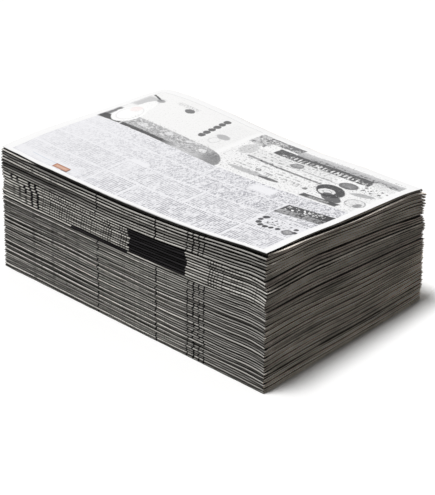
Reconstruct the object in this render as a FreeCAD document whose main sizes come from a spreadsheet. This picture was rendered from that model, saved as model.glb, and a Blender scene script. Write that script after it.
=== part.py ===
import FreeCAD, Part
import math
import os
import Sketcher
from FreeCAD import Vector

# A bundle of 52 broadsheet newspapers, each folded once across its middle and
# laid on a flat surface with every half fold on the same side.
#
# Frame: millimetres, +Z up. X runs along the half folds (the full width of a
# page), Y runs from the folded side (-Y) to the open side (+Y). The origin is
# the middle of the face the bundle rests on.
#
# One newspaper is one solid. Its section across Y is a hairpin: a lower half
# and an upper half of eighteen leaves each, joined by the round half fold at
# -Y and parted by a narrow slit that is open at +Y and at both ends. The
# centre fold of the sheets is the end at -X, where the two halves are rounded;
# the end at +X is the cut edge of the leaves.
#
# Three bundles were put on top of each other. The folded side packs thicker
# than the open side, so each level slopes down towards +Y. A level is given as
# a height at five places across Y for each of six stations along X.

doc = FreeCAD.newDocument("NewspaperStack")
sheet = doc.addObject("Spreadsheet::Sheet", "Dimensions")
next_row = [1]


def cell(alias, value):
    row = next_row[0]
    next_row[0] += 1
    sheet.set("A%d" % row, alias.replace("_", " "))
    sheet.set("B%d" % row, "%.4f" % value)
    sheet.setAlias("B%d" % row, alias)


# Overall sizes of one folded copy.
cell("page_width", 406.0)        # along the half fold
cell("folded_depth", 272.5)      # half of a 545 mm page
cell("slit_gap", 0.35)           # air between the two halves of a copy
cell("copy_gap", 0.20)           # air between one copy and the next
cell("centre_fold_radius", 0.40) # rounding of the sheets' centre fold at -X
cell("creep", 1.50)              # how far the outer leaves stop short of the inner ones at +Y

# Stations between the two ends, along X, and between the fold and the open
# edge, along Y.
cell("along_2", -100.0)
cell("along_3", 0.0)
cell("along_4", 100.0)
cell("along_5", 185.0)
cell("across_2", -60.0)
cell("across_3", 20.0)
cell("across_4", 100.0)

# Level heights: rows are stations across Y from the fold to the open edge,
# columns are stations along X from the centre fold to the cut end.
LEVELS = {
    "ground": [[0.0] * 6 for _ in range(5)],
    "second": [
        [94.8, 94.0, 94.4, 97.2, 102.4, 102.0],
        [92.5, 92.3, 92.3, 94.7, 98.8, 98.5],
        [89.5, 89.5, 88.6, 90.0, 92.6, 92.5],
        [85.5, 85.8, 84.3, 85.0, 86.1, 86.2],
        [83.5, 83.8, 81.8, 82.0, 82.4, 82.5],
    ],
    "third": [
        [128.3, 126.8, 126.1, 131.8, 138.3, 137.6],
        [126.0, 126.1, 125.3, 130.8, 136.5, 136.2],
        [121.0, 121.7, 119.9, 124.2, 128.1, 128.0],
        [115.3, 116.3, 113.1, 116.0, 117.9, 118.0],
        [112.5, 113.5, 109.5, 111.5, 112.4, 112.5],
    ],
    "crown": [
        [157.8, 157.0, 157.9, 162.8, 171.1, 172.5],
        [156.6, 156.9, 155.9, 159.8, 166.3, 167.4],
        [150.3, 152.4, 150.2, 154.0, 159.0, 160.0],
        [145.5, 149.4, 145.8, 149.3, 152.8, 153.6],
        [141.0, 144.4, 139.0, 141.2, 143.0, 143.5],
    ],
}
NX, NY = 6, 5
for level, table in LEVELS.items():
    for j in range(NY):
        for i in range(NX):
            cell("%s_%d_%d" % (level, i + 1, j + 1), table[j][i])

# The three bundles, from the bottom: how many copies, and between which levels.
BUNDLES = [
    ("lower", 33, "ground", "second"),
    ("middle", 10, "second", "third"),
    ("upper", 9, "third", "crown"),
]

# How far each copy lies out of line with the stack, along X and across Y.
OUT_OF_LINE = [
    # lower bundle
    (-0.4, 0.3), (0.5, -0.4), (-0.2, 0.5), (0.3, 0.1), (-0.6, -0.3), (0.1, 0.4),
    (0.4, -0.2), (-0.3, 0.2), (0.6, -0.5), (-0.1, 0.3), (0.2, -0.1), (-0.5, 0.4),
    (0.3, -0.3), (-0.2, 0.1), (0.5, 0.3), (0.0, -0.4), (-0.4, 0.2), (0.4, 0.4),
    (-0.1, -0.2), (0.3, 0.3), (-0.5, -0.1), (0.1, 0.2), (0.5, -0.3), (-0.3, 0.4),
    (0.2, 0.0), (-0.2, -0.4), (0.4, 0.2), (-0.4, 0.3), (0.1, -0.2), (0.6, 0.1),
    (0.0, 0.4), (-0.3, -0.3), (0.3, 0.2),
    # middle bundle
    (-0.9, -0.5), (-0.6, 0.1), (-0.8, -0.2), (-0.3, 0.4), (0.6, -0.1), (1.2, 0.2),
    (1.6, -0.3), (0.2, 0.3), (-0.9, -0.2), (-0.5, -0.9),
    # upper bundle
    (-1.6, -0.2), (-1.2, 0.3), (-0.8, 0.0), (-0.3, 0.4), (0.2, -0.2), (0.0, 0.3),
    (-0.3, 0.1), (0.3, 0.5), (0.8, 0.9),
]

number = 0
for bundle, count, lower_level, upper_level in BUNDLES:
    for place in range(count):
        number += 1
        cell("share_%02d" % number, 1.0 / count)
        cell("below_%02d" % number, float(place) / count)
        cell("slide_x_%02d" % number, OUT_OF_LINE[number - 1][0])
        cell("slide_y_%02d" % number, OUT_OF_LINE[number - 1][1])
doc.recompute()


def value(alias):
    return float(sheet.get(alias))


def origin_plane(body, role):
    for feature in body.Origin.OriginFeatures:
        if feature.Role == role:
            return feature
    raise RuntimeError("no origin plane " + role)


def section_sketch(body, number, i, lower_level, upper_level, turn=0):
    """The hairpin section of one newspaper at station i along X. Station 1 is
    where the centre fold starts to turn; turn is how far round it is there, in
    degrees, so 90 is the very end of the newspaper."""
    half = value("page_width") / 2
    radius = value("centre_fold_radius")
    along_turn = round(1 - math.sin(math.radians(turn)), 6)
    into_turn = round(1 - math.cos(math.radians(turn)), 6)
    if i == 1:
        x = -half + radius * along_turn
        x_rule = "-Dimensions.page_width / 2 + Dimensions.centre_fold_radius * %g" % along_turn
    elif i == NX:
        x, x_rule = half, "Dimensions.page_width / 2"
    else:
        x, x_rule = value("along_%d" % i), "Dimensions.along_%d" % i
    sketch = body.newObject("Sketcher::SketchObject", "Section_%02d_%d_%02d" % (number, i, turn))
    sketch.AttachmentSupport = [(origin_plane(body, "YZ_Plane"), "")]
    sketch.MapMode = "FlatFace"
    sketch.AttachmentOffset = FreeCAD.Placement(Vector(0, 0, x), FreeCAD.Rotation())
    sketch.setExpression("AttachmentOffset.Base.z", x_rule)

    inset = radius * into_turn
    inset_rule = "Dimensions.centre_fold_radius * %g" % into_turn
    slit, gap = value("slit_gap") + 2 * inset, value("copy_gap")
    slit_rule = "(Dimensions.slit_gap + 2 * %s)" % inset_rule
    share, below = value("share_%02d" % number), value("below_%02d" % number)
    low, thick, low_rule, thick_rule = [], [], [], []
    for j in range(1, NY + 1):
        a, b = "%s_%d_%d" % (lower_level, i, j), "%s_%d_%d" % (upper_level, i, j)
        low.append(value(a) + (value(b) - value(a)) * below + inset)
        thick.append((value(b) - value(a)) * share - gap - 2 * inset)
        low_rule.append(
            "Dimensions.%s + (Dimensions.%s - Dimensions.%s) * Dimensions.below_%02d + %s"
            % (a, b, a, number, inset_rule)
        )
        thick_rule.append(
            "((Dimensions.%s - Dimensions.%s) * Dimensions.share_%02d - Dimensions.copy_gap - 2 * %s)"
            % (b, a, number, inset_rule)
        )
    depth = value("folded_depth")
    across = [-depth / 2 + thick[0] / 2 + inset] + [value("across_%d" % j) for j in (2, 3, 4)] + [depth / 2]
    across_rule = (
        ["-Dimensions.folded_depth / 2 + %s / 2 + %s" % (thick_rule[0], inset_rule)]
        + ["Dimensions.across_%d" % j for j in (2, 3, 4)]
        + ["Dimensions.folded_depth / 2 - Dimensions.creep"]
    )

    # The outer leaves go the long way round the half fold, so at the open side
    # they stop short of the leaves next to the slit.
    outer_across = across[:-1] + [across[-1] - value("creep")]
    under = [Vector(y, z, 0) for y, z in zip(outer_across, low)]
    over = [Vector(y, z + t, 0) for y, z, t in zip(outer_across, low, thick)]
    slit_floor = [Vector(y, z + (t - slit) / 2, 0) for y, z, t in zip(across, low, thick)]
    slit_roof = [Vector(y, z + (t + slit) / 2, 0) for y, z, t in zip(across, low, thick)]

    # Outline: under side, cut of the lower half, slit, cut of the upper half,
    # top side, and the round half fold that closes it at -Y.
    corners = under + slit_floor[::-1] + slit_roof + over[::-1]
    last = len(corners) - 1
    outline = [Part.LineSegment(p, q) for p, q in zip(corners[:-1], corners[1:])]
    middle = (under[0] + over[0]) * 0.5
    tip = Vector(-depth / 2 + inset, middle.y, 0)
    outline.append(Part.Arc(over[0], tip, under[0]))
    sketch.addGeometry(outline, False)
    fold = last
    if (sketch.Geometry[fold].StartPoint - over[0]).Length < 1e-6:
        top_end, bottom_end = 1, 2
    else:
        top_end, bottom_end = 2, 1

    def point(index):
        return (index, 1) if index < last else (last - 1, 2)

    joins = [Sketcher.Constraint("Coincident", e, 2, e + 1, 1) for e in range(last - 1)]
    joins.append(Sketcher.Constraint("Coincident", last - 1, 2, fold, top_end))
    joins.append(Sketcher.Constraint("Coincident", 0, 1, fold, bottom_end))
    for j in range(NY - 1):
        for other in (2 * NY - 1 - j, 2 * NY + j, 4 * NY - 1 - j):
            joins.append(Sketcher.Constraint("Vertical", *point(j), *point(other)))
    joins.append(Sketcher.Constraint("Vertical", *point(NY - 1), *point(3 * NY)))
    joins.append(Sketcher.Constraint("Vertical", *point(NY), *point(3 * NY - 1)))
    joins.append(Sketcher.Constraint("Vertical", 0, 1, fold, 3))
    sketch.addConstraint(joins)

    rules = []

    def dimension(kind, first, second, size, rule):
        if second is None:
            made = Sketcher.Constraint(kind, -1, 1, *point(first), size)
        else:
            made = Sketcher.Constraint(kind, *point(first), *point(second), size)
        rules.append((sketch.addConstraint(made), rule))

    for j in range(NY):
        floor_at, roof_at, top_at = 2 * NY - 1 - j, 2 * NY + j, 4 * NY - 1 - j
        dimension("DistanceX", j, None, outer_across[j], across_rule[j])
        dimension("DistanceY", j, None, low[j], low_rule[j])
        dimension("DistanceY", j, top_at, thick[j], thick_rule[j])
        dimension("DistanceY", j, floor_at, (thick[j] - slit) / 2,
                  "(%s - %s) / 2" % (thick_rule[j], slit_rule))
        dimension("DistanceY", floor_at, roof_at, slit, slit_rule)
        if j == NY - 1:
            dimension("DistanceX", j, floor_at, value("creep"), "Dimensions.creep")
    for index, rule in rules:
        sketch.setExpression("Constraints[%d]" % index, rule)
    return sketch


copies = []
number = 0
for bundle, count, lower_level, upper_level in BUNDLES:
    for place in range(count):
        number += 1
        name = "newspaper_%02d" % number
        body = doc.addObject("PartDesign::Body", name)
        body.Label = name
        sections = [
            section_sketch(body, number, i, lower_level, upper_level)
            for i in range(1, NX + 1)
        ]
        doc.recompute()
        leaves = body.newObject("PartDesign::AdditiveLoft", "Leaves_%02d" % number)
        leaves.Profile = sections[0]
        leaves.Sections = sections[1:]
        leaves.Ruled = True
        leaves.Closed = False
        leaves.Refine = False
        doc.recompute()
        turns = [
            section_sketch(body, number, 1, lower_level, upper_level, turn)
            for turn in (90, 45)
        ]
        doc.recompute()
        fold = body.newObject("PartDesign::AdditiveLoft", "CentreFold_%02d" % number)
        fold.Profile = turns[0]
        fold.Sections = [turns[1], sections[0]]
        fold.Ruled = False
        fold.Closed = False
        fold.Refine = False
        body.Tip = fold
        body.Placement = FreeCAD.Placement(
            Vector(value("slide_x_%02d" % number), value("slide_y_%02d" % number), 0),
            FreeCAD.Rotation(),
        )
        body.setExpression("Placement.Base.x", "Dimensions.slide_x_%02d" % number)
        body.setExpression("Placement.Base.y", "Dimensions.slide_y_%02d" % number)
        doc.recompute()
        copies.append(body)

doc.recompute()
failed = [
    o.Name for o in doc.Objects
    if any(word in state for state in o.State for word in ("Invalid", "Error"))
]
for body in copies:
    shape = body.Shape
    if shape.isNull() or not shape.isValid() or len(shape.Solids) != 1:
        failed.append(body.Label)
if failed:
    raise RuntimeError("not built: " + ", ".join(failed))

os.makedirs("parts", exist_ok=True)
for body in copies:
    body.Shape.exportStep("parts/%s.step" % body.Label)
print("wrote %d newspapers, %.0f mm3 of paper in all"
      % (len(copies), sum(body.Shape.Volume for body in copies)))
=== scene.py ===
import math

import bpy
import numpy as np
from mathutils import Matrix, Vector


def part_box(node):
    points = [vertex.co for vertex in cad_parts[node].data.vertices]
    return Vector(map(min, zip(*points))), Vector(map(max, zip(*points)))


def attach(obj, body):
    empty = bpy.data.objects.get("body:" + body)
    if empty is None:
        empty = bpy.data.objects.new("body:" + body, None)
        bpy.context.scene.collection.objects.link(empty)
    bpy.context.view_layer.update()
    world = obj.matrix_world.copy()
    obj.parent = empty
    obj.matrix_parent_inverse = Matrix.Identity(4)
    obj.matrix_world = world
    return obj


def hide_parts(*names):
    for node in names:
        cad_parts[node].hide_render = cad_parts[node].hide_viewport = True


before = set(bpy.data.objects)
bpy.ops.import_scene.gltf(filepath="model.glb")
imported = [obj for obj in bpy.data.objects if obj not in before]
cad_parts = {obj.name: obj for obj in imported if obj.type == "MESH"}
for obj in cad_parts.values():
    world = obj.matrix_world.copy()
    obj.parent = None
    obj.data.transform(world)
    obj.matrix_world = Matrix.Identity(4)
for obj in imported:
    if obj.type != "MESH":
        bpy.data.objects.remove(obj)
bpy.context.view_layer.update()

MM = 0.001
COPIES = 52
GROUPS = [(0, 33), (33, 43), (43, 52)]      # interfaces at the bottom and top of each bundle
L2, W2 = 203.0, 136.25                      # half the page width, half the folded depth
SLIT = 0.12
LEAVES = 18                                 # leaves in each half of a folded copy


# ---------------------------------------------------------------- smooth curves and noise

def pchip(xk, yk, x):
    xk, yk = np.asarray(xk, float), np.asarray(yk, float)
    step, slope = np.diff(xk), np.diff(yk) / np.diff(xk)
    m = np.zeros_like(yk)
    for i in range(1, len(xk) - 1):
        if slope[i - 1] * slope[i] > 0:
            a, b = 2 * step[i] + step[i - 1], step[i] + 2 * step[i - 1]
            m[i] = (a + b) / (a / slope[i - 1] + b / slope[i])
    m[0], m[-1] = slope[0], slope[-1]
    x = np.asarray(x, float)
    i = np.clip(np.searchsorted(xk, x) - 1, 0, len(xk) - 2)
    t = (x - xk[i]) / step[i]
    inside = np.clip(t, 0, 1)
    out = ((1 + 2 * inside) * (1 - inside) ** 2 * yk[i] + inside * (1 - inside) ** 2 * step[i] * m[i]
           + inside ** 2 * (3 - 2 * inside) * yk[i + 1] + inside ** 2 * (inside - 1) * step[i] * m[i + 1])
    return out + (t - inside) * step[i] * np.where(t < 0, m[i], m[i + 1])


def wave(rng, x, longest, octaves=3, fall=0.55):
    """Smooth seeded noise along x, about -1 to 1."""
    total, size, height = 0.0, 0.0, 1.0
    for o in range(octaves):
        phase, lean = rng.uniform(0, 2 * math.pi), rng.uniform(0.8, 1.25)
        total = total + height * np.sin(2 * math.pi * np.asarray(x) * lean * 2 ** o / longest + phase)
        size += height
        height *= fall
    return total / size


def field(rng, x, y, longest):
    """Smooth seeded noise over the plan, about -1 to 1."""
    total = 0.0
    for o in range(4):
        turn, phase, lean = rng.uniform(0, 2 * math.pi), rng.uniform(0, 2 * math.pi), rng.uniform(0.7, 1.5)
        total = total + np.sin(2 * math.pi * lean * (x * math.cos(turn) + y * math.sin(turn)) / longest + phase)
    return total / 2.6


def ease(t):
    t = np.clip(t, 0, 1)
    return t * t * (3 - 2 * t)


# ---------------------------------------------------------------- the levels of the stack

def border(spine, end, back, left):
    return {"spine": spine, "end": end, "back": back, "left": left}


CROWN = border(
    ([-203, -120, -40, 36, 107, 141, 175, 203], [157.8, 157, 157.2, 159.2, 163.3, 166.5, 170.3, 172.4]),
    ([-136, -80, -51, -21, 10, 41, 73, 94.5, 116, 128, 136], [172.4, 169, 166.6, 163.5, 160.8, 158.4, 156, 154.2, 151.2, 148, 143.5]),
    ([-203, -190, -147, -97, -49, 0, 45, 90, 134, 177, 203], [141, 143.5, 146, 144.3, 141.2, 139, 139, 140.8, 142.2, 142.8, 143.5]),
    ([-136, -87, -39, 10, 61, 113, 136], [157.8, 157.6, 155.3, 151, 147.7, 144.5, 141]))
THIRD = border(
    ([-203, -120, -40, 0, 40, 80, 120, 160, 185, 203], [128.3, 127.2, 125.8, 126.1, 127.6, 130.4, 133.2, 136.2, 138.3, 137.6]),
    ([-136, -61, -20, 24, 60, 100, 136], [137.6, 136.2, 132, 127.6, 123.5, 118, 112.5]),
    ([-203, -100, 0, 100, 203], [112.5, 113.5, 109.5, 111.5, 112.5]),
    ([-136, -60, 20, 90, 136], [128.3, 126, 121, 116, 112.5]))
SECOND = border(
    ([-203, -120, -40, 0, 40, 100, 150, 185, 203], [94.8, 94.2, 93.8, 94.4, 95.2, 97.2, 99.9, 102.4, 102.0]),
    ([-136, -61, 24, 80, 136], [102.0, 98.6, 92.2, 88, 82.5]),
    ([-203, -100, 0, 100, 203], [83.5, 83.8, 81.8, 82.0, 82.5]),
    ([-136, -60, 20, 90, 136], [94.8, 92.5, 89.5, 86, 83.5]))


def level(edges, x, y):
    """A patch through four border curves."""
    u, v = (x + 203) / 406.0, (y + 136) / 272.0
    s, b = pchip(*edges["spine"], x), pchip(*edges["back"], x)
    l, e = pchip(*edges["left"], y), pchip(*edges["end"], y)
    p, q = edges["spine"][1][0], edges["spine"][1][-1]
    r, t = edges["back"][1][0], edges["back"][1][-1]
    return ((1 - v) * s + v * b + (1 - u) * l + u * e
            - ((1 - u) * (1 - v) * p + u * (1 - v) * q + (1 - u) * v * r + u * v * t))


GX, GY = np.linspace(-209, 209, 210), np.linspace(-142, 142, 143)
gx, gy = np.meshgrid(GX, GY)
cx, cy = np.clip(gx, -203, 203), np.clip(gy, -136, 136)


def interfaces():
    """Heights between one copy and the next over the plan: 53 surfaces from the floor to the top page."""
    rng = np.random.default_rng(20)
    bounds = [np.zeros_like(gx), level(SECOND, cx, cy), level(THIRD, cx, cy), level(CROWN, cx, cy)]
    found = [bounds[0]]
    for g, (low, high) in enumerate(GROUPS):
        weights = []
        for k in range(low + 1, high + 1):
            w = 1 + 0.10 * rng.uniform(-1, 1) + 0.16 * field(rng, gx, gy, 260) + 0.06 * field(rng, gx, gy, 110)
            if k == COPIES:
                near_end = ease((gx - 60) / 143)
                w = w * (1 + 0.70 * near_end * np.exp(-((gy + 8) / 70) ** 2) - 0.50 * near_end * ease((-84 - gy) / 44))
                w = w * (1 - 0.25 * near_end * ease((gy - 70) / 60))
                w = w * (1 - 0.25 * ease((-60 - gy) / 76) * ease((60 - gx) / 160))
            weights.append(np.clip(w, 0.35, None))
        total = sum(weights)
        run = np.zeros_like(gx)
        for w in weights:
            run = run + w
            found.append(bounds[g] + (bounds[g + 1] - bounds[g]) * run / total)
    H = np.array(found)
    # the folded corner at the cut end has been knocked down a little on all but the upper bundle
    knock = np.exp(-np.clip(203 - gx, 0, None) / 11.0) * np.exp(-np.clip(gy + 136, 0, None) / 40.0)
    for k in range(1, 43):
        H[k] -= 2.6 * knock * min(1.0, k / 12.0) * (1 + 0.5 * rng.uniform(-1, 1))
    H[43] -= 1.2 * knock
    return H


HEIGHTS = interfaces()


def height(k, x, y):
    fx = np.clip((x - GX[0]) / (GX[1] - GX[0]), 0, len(GX) - 1.001)
    fy = np.clip((y - GY[0]) / (GY[1] - GY[0]), 0, len(GY) - 1.001)
    i, j = fx.astype(int), fy.astype(int)
    a, b = fx - i, fy - j
    t = HEIGHTS[k]
    return (t[j, i] * (1 - a) * (1 - b) + t[j, i + 1] * a * (1 - b) + t[j + 1, i] * (1 - a) * b + t[j + 1, i + 1] * a * b)


# How wide each gap between copies stands open at the folds, the cut ends and
# the open side. Most are hairlines; a few run as dark lines right along.
open_rng = np.random.default_rng(7)
WIDE_FOLD = {1: 1.1, 4: 1.5, 7: 1.9, 9: 1.4, 11: 1.8, 15: 1.8, 18: 1.9, 21: 1.45, 23: 1.9, 26: 1.4, 29: 1.85,
             31: 1.4, 33: 1.8, 34: 1.1, 37: 1.3, 40: 1.3, 43: 1.7, 46: 2.0, 48: 1.5, 49: 1.4, 50: 1.5, 51: 2.0}
WIDE_END = {6: 1.7, 7: 2.0, 12: 0.9, 20: 0.7, 27: 0.7, 33: 1.5, 39: 2.2, 43: 1.4, 47: 1.0, 51: 1.4}
FOLD_OPEN = [WIDE_FOLD.get(k, 0.88) + 0.26 * open_rng.random() for k in range(COPIES + 1)]
END_OPEN = [WIDE_END.get(k, 0.50 + 0.46 * open_rng.random()) for k in range(COPIES + 1)]
BACK_OPEN = [0.25 + 0.55 * open_rng.random() for k in range(COPIES + 1)]
FOLD_OPEN[0] = END_OPEN[0] = BACK_OPEN[0] = 0.0
FOLD_OPEN[COPIES] = END_OPEN[COPIES] = BACK_OPEN[COPIES] = 0.0
gap_waves = [np.random.default_rng(900 + k) for k in range(COPIES + 1)]
GAP_PHASE = [(r.uniform(0, 6.28), r.uniform(0, 6.28), r.uniform(0, 6.28)) for r in gap_waves]


def gap(k, x, y):
    """How far apart the two copies at interface k stand, in mm."""
    if k in (0, COPIES):
        return np.zeros_like(x)
    p, q, r = GAP_PHASE[k]
    along = (1 + 0.26 * np.sin(x / 33.0 + p) + 0.16 * np.sin(x / 14.0 + q)) * (1.0 - 0.14 * ease((x + 60) / 120))
    across = 1 + 0.35 * np.sin(y / 26.0 + q) + 0.25 * np.sin(y / 11.0 + r)
    fold = FOLD_OPEN[k] * along * np.exp(-np.clip(y + 136, 0, None) / 9.0)
    end = END_OPEN[k] * across * (np.exp(-np.clip(203 - x, 0, None) / 12.0) + np.exp(-np.clip(203 + x, 0, None) / 12.0))
    back = BACK_OPEN[k] * along * np.exp(-np.clip(136 - y, 0, None) / 10.0)
    out = 0.06 + np.maximum(np.maximum(fold, end), back)
    if k == 51:
        out = out * (1 - 0.45 * ease((x - 160) / 40) * ease((y - 10) / 90))
        # the top copy has lifted off the pile along its cut end
        out = out + 0.9 * ease((x - 178) / 25) * ease((y + 134) / 30) * (1 - 0.75 * ease((y - 30) / 80))
    if k == 43:
        out = out + 0.5 * ease((x - 170) / 33) * ease((y - 20) / 80)
    if k == 39:
        out = out - 1.7 * np.exp(-np.clip(203 - x, 0, None) / 12.0) * ease((y + 20) / 70)
        out = np.maximum(out, 0.12)
    return out


# ---------------------------------------------------------------- one folded copy

def spacing(n, lo, hi, power):
    """n positions from lo to hi, closer together at both ends."""
    t = np.linspace(-1, 1, n)
    s = np.sign(t) * np.abs(t)
    s = (1 - power) * s + power * np.sin(s * math.pi / 2)
    return lo + (hi - lo) * (s + 1) / 2


def copy_shape(k, columns, flat_rows, nose_rows, levels):
    """Vertices and faces of copy k: a slab of leaves bent round at the half fold."""
    rng = np.random.default_rng(1000 + k)
    lo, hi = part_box("newspaper_%02d" % k)
    dx, dy = 500 * (lo.x + hi.x), 200 * (lo.y + hi.y)
    top = k == COPIES

    # plan outline
    skew = rng.uniform(-0.0018, 0.0018)
    fold_wave = (rng.uniform(60, 240), rng.integers(1 << 30))
    end_wave = (rng.uniform(50, 160), rng.integers(1 << 30))
    back_wave = (rng.uniform(60, 200), rng.integers(1 << 30))
    corner = {}
    for sx in (-1, 1):
        for sy in (-1, 1):
            corner[sx, sy] = rng.uniform(0.1, 0.7) if sy < 0 else rng.uniform(0.0, 0.9)
    corner[1, 1] += rng.uniform(-0.25, 0.35)
    if k <= 10:
        corner[1, 1] += (11 - k) * 0.12
    if k in (42, 43):
        corner[1, 1] += 0.8
    if top:
        corner[1, 1] = 2.6
    set_back = {52: -0.1, 51: 0.0, 46: 0.5, 43: 0.4, 34: 0.2}.get(k, rng.uniform(-0.11, 0.11))

    X0 = spacing(columns, -L2, L2, 0.55)
    # rows: upper open edge -> half fold -> lower open edge
    ys = spacing(flat_rows + 1, W2, -W2, 0.6)[:flat_rows]
    rows = flat_rows * 2 + nose_rows
    Xn = np.tile(X0, (rows, 1))

    def plan(X, Y):
        fold = 0.17 * wave(np.random.default_rng(fold_wave[1]), X, fold_wave[0]) + set_back
        end = 0.40 * wave(np.random.default_rng(end_wave[1]), Y, end_wave[0])
        back = 0.45 * wave(np.random.default_rng(back_wave[1]), X, back_wave[0])
        near_fold, near_back = ease((-Y - 60) / 76), ease((Y - 60) / 76)
        near_end = ease((np.abs(X) - 120) / 83)
        x = X + dx - skew * Y + end * near_end
        y = Y + dy + skew * X + fold * near_fold + back * near_back
        # lower down, the copies have crept out a little at the open side and the centre folds
        crept = max(0.0, 1 - (k - 1) / 46.0)
        x = x - 2.5 * crept * ease((-X - 60) / 143)
        y = y + 5.0 * crept * ease((Y - 30) / 106) * (0.30 + 0.70 * ease((X + 60) / 263))
        if top:
            y = y + 1.7 * near_fold * ease((-142 - X) / 40)
        if k == 51:
            y = y + 1.9 * near_fold * ease((X + 168) / 40)
        for (sx, sy), cut in corner.items():
            u = ease((sx * X - (L2 - 16)) / 16) * ease((sy * Y - (W2 - 16)) / 16)
            x, y = x - sx * cut * u, y - sy * cut * u
        return x, y

    def faces_at(X, Y):
        """Under and upper height of the copy at a plan position."""
        x, y = plan(X, Y)
        low = height(k - 1, x, y) + 0.5 * gap(k - 1, x, y)
        high = height(k, x, y) - 0.5 * gap(k, x, y)
        high = np.maximum(high, low + 1.0)
        return x, y, low, high

    outer = np.zeros((rows, columns, 3))
    inner = np.zeros((rows, columns, 3))
    page = np.zeros((rows, columns))            # distance along the page from the fold line

    # nose size from the thickness where the fold starts
    _, _, low, high = faces_at(X0, np.full(columns, -W2 + 2.0))
    thick = high - low
    reach = thick * 0.5 * (1.02 + 0.10 * wave(rng, X0, 120))
    start = -W2 + reach                         # plan Y where the fold starts
    for half in (0, 1):
        for j in range(flat_rows):
            r = j if half == 0 else rows - 1 - j
            t = (ys[j] - W2) / (-2 * W2)
            Y = W2 + (start - W2) * t
            x, y, low, high = faces_at(X0, Y)
            mid = 0.5 * (low + high)
            last = np.zeros(columns)
            last[-1] = 1.2 if not top else -1.5
            # the open side: outer leaves stop short of the inner ones
            creep = 1.7 * ease((Y - (W2 - 6)) / 6)
            pinch = 0.09 * np.exp(-np.clip(L2 - X0, 0, None) / 6.0)
            if half == 0:
                outer[r] = np.stack([x, y - creep, high], -1)
                inner[r] = np.stack([x + last, y, mid + SLIT / 2 + pinch], -1)
                page[r] = -W2 + (Y - start) + reach * math.pi / 2
            else:
                outer[r] = np.stack([x + (last * 0.7 if top else 0.0), y - creep, low], -1)
                inner[r] = np.stack([x + last, y, mid - SLIT / 2 - pinch], -1)
                page[r] = -W2 - ((Y - start) + reach * math.pi / 2)
    x, y, low, high = faces_at(X0, start)
    mid, half_thick = 0.5 * (low + high), 0.5 * (high - low)
    flat = 0.10 * wave(rng, X0, 90)
    for j in range(nose_rows):
        r = flat_rows + j
        a = math.pi * j / (nose_rows - 1)
        s, c = math.sin(a), math.cos(a)
        bulge = np.sign(s) * abs(s)
        tall = np.sign(c) * abs(c)
        outer[r] = np.stack([x, y - reach * bulge * (1 + flat * s), mid + half_thick * tall], -1)
        inner[r] = np.stack([x, y - SLIT / 2 * s, mid + SLIT / 2 * c], -1)
        page[r] = -W2 + reach * (math.pi / 2 - a)

    # small buckles where the paper is forced round the fold
    ripple = (0.10 * wave(rng, X0, 23, 2) + 0.06 * wave(rng, X0, 9, 2))
    for r in range(flat_rows - 3, flat_rows + nose_rows + 3):
        side = math.sin(math.pi * (r - flat_rows + 3) / (nose_rows + 5))
        outer[r, :, 1] -= ripple * side

    # the cut ends: the middle leaves of each half stand out, with ragged single leaves
    n = np.arange(1, levels) / levels
    ragged = rng.uniform(-0.16, 0.16, levels - 1)
    rim_end = np.zeros((rows, levels - 1, 3))
    rim_fold = np.zeros((rows, levels - 1, 3))
    rim_y = 0.5 * (outer[:, -1, 1] + inner[:, -1, 1])
    for l in range(levels - 1):
        t = n[l]
        drift = 0.10 * wave(np.random.default_rng(int(5000 + 60 * k + l)), rim_y, 90)
        stand = (-0.6 * math.sin(math.pi * t) if top else 1.4 * t ** 0.75 - 1.2 * t) + 0.8 * (ragged[l] + drift)
        rim_end[:, l] = outer[:, -1] * (1 - t) + inner[:, -1] * t
        rim_end[:, l, 0] += stand
        round_end = math.sqrt(max(0.0, 1 - (2 * t - 1) ** 2))
        rim_fold[:, l] = outer[:, 0] * (1 - t) + inner[:, 0] * t
        rim_fold[:, l, 0] -= 0.62 * round_end
    # the open side
    ragged_y = rng.uniform(-0.18, 0.18, levels - 1)
    rim_open = np.zeros((2, levels - 1, columns, 3))
    for e, r in enumerate((0, rows - 1)):
        for l in range(levels - 1):
            t = n[l]
            rim_open[e, l] = outer[r] * (1 - t) + inner[r] * t
            drift = 0.12 * wave(np.random.default_rng(int(9000 + 60 * k + 7 * e + l)), X0, 110)
            stand = ragged_y[l] + drift + 0.35 * (1 - abs(2 * t - 1) ** 2)
            rim_open[e, l, :, 1] += stand
            rim_end[r, l, 1] += stand[-1]
            rim_fold[r, l, 1] += stand[0]
        rim_open[e, :, -1] = rim_end[r]
        rim_open[e, :, 0] = rim_fold[r]

    # ---- assemble
    verts, count = [], 0

    def add(block):
        nonlocal count
        flat_block = block.reshape(-1, 3)
        ids = np.arange(count, count + len(flat_block)).reshape(block.shape[:-1])
        verts.append(flat_block)
        count += len(flat_block)
        return ids

    O, I = add(outer), add(inner)
    E, F = add(rim_end), add(rim_fold)
    open_ids = []
    for e, r in enumerate((0, rows - 1)):
        middle = add(rim_open[e][:, 1:-1])
        ids = np.zeros((levels - 1, columns), int)
        ids[:, 1:-1] = middle
        ids[:, -1], ids[:, 0] = E[r], F[r]
        open_ids.append(np.vstack([O[r][None], ids, I[r][None]]))
    end_ids = np.hstack([O[:, -1][:, None], E, I[:, -1][:, None]])
    fold_ids = np.hstack([O[:, 0][:, None], F, I[:, 0][:, None]])

    quads, kinds = [], []

    def grid(ids, kind, flip=False):
        a, b, c, d = ids[:-1, :-1], ids[:-1, 1:], ids[1:, 1:], ids[1:, :-1]
        q = np.stack([a, d, c, b] if flip else [a, b, c, d], -1).reshape(-1, 4)
        quads.append(q)
        kinds.append(np.full(len(q), kind))

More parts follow.
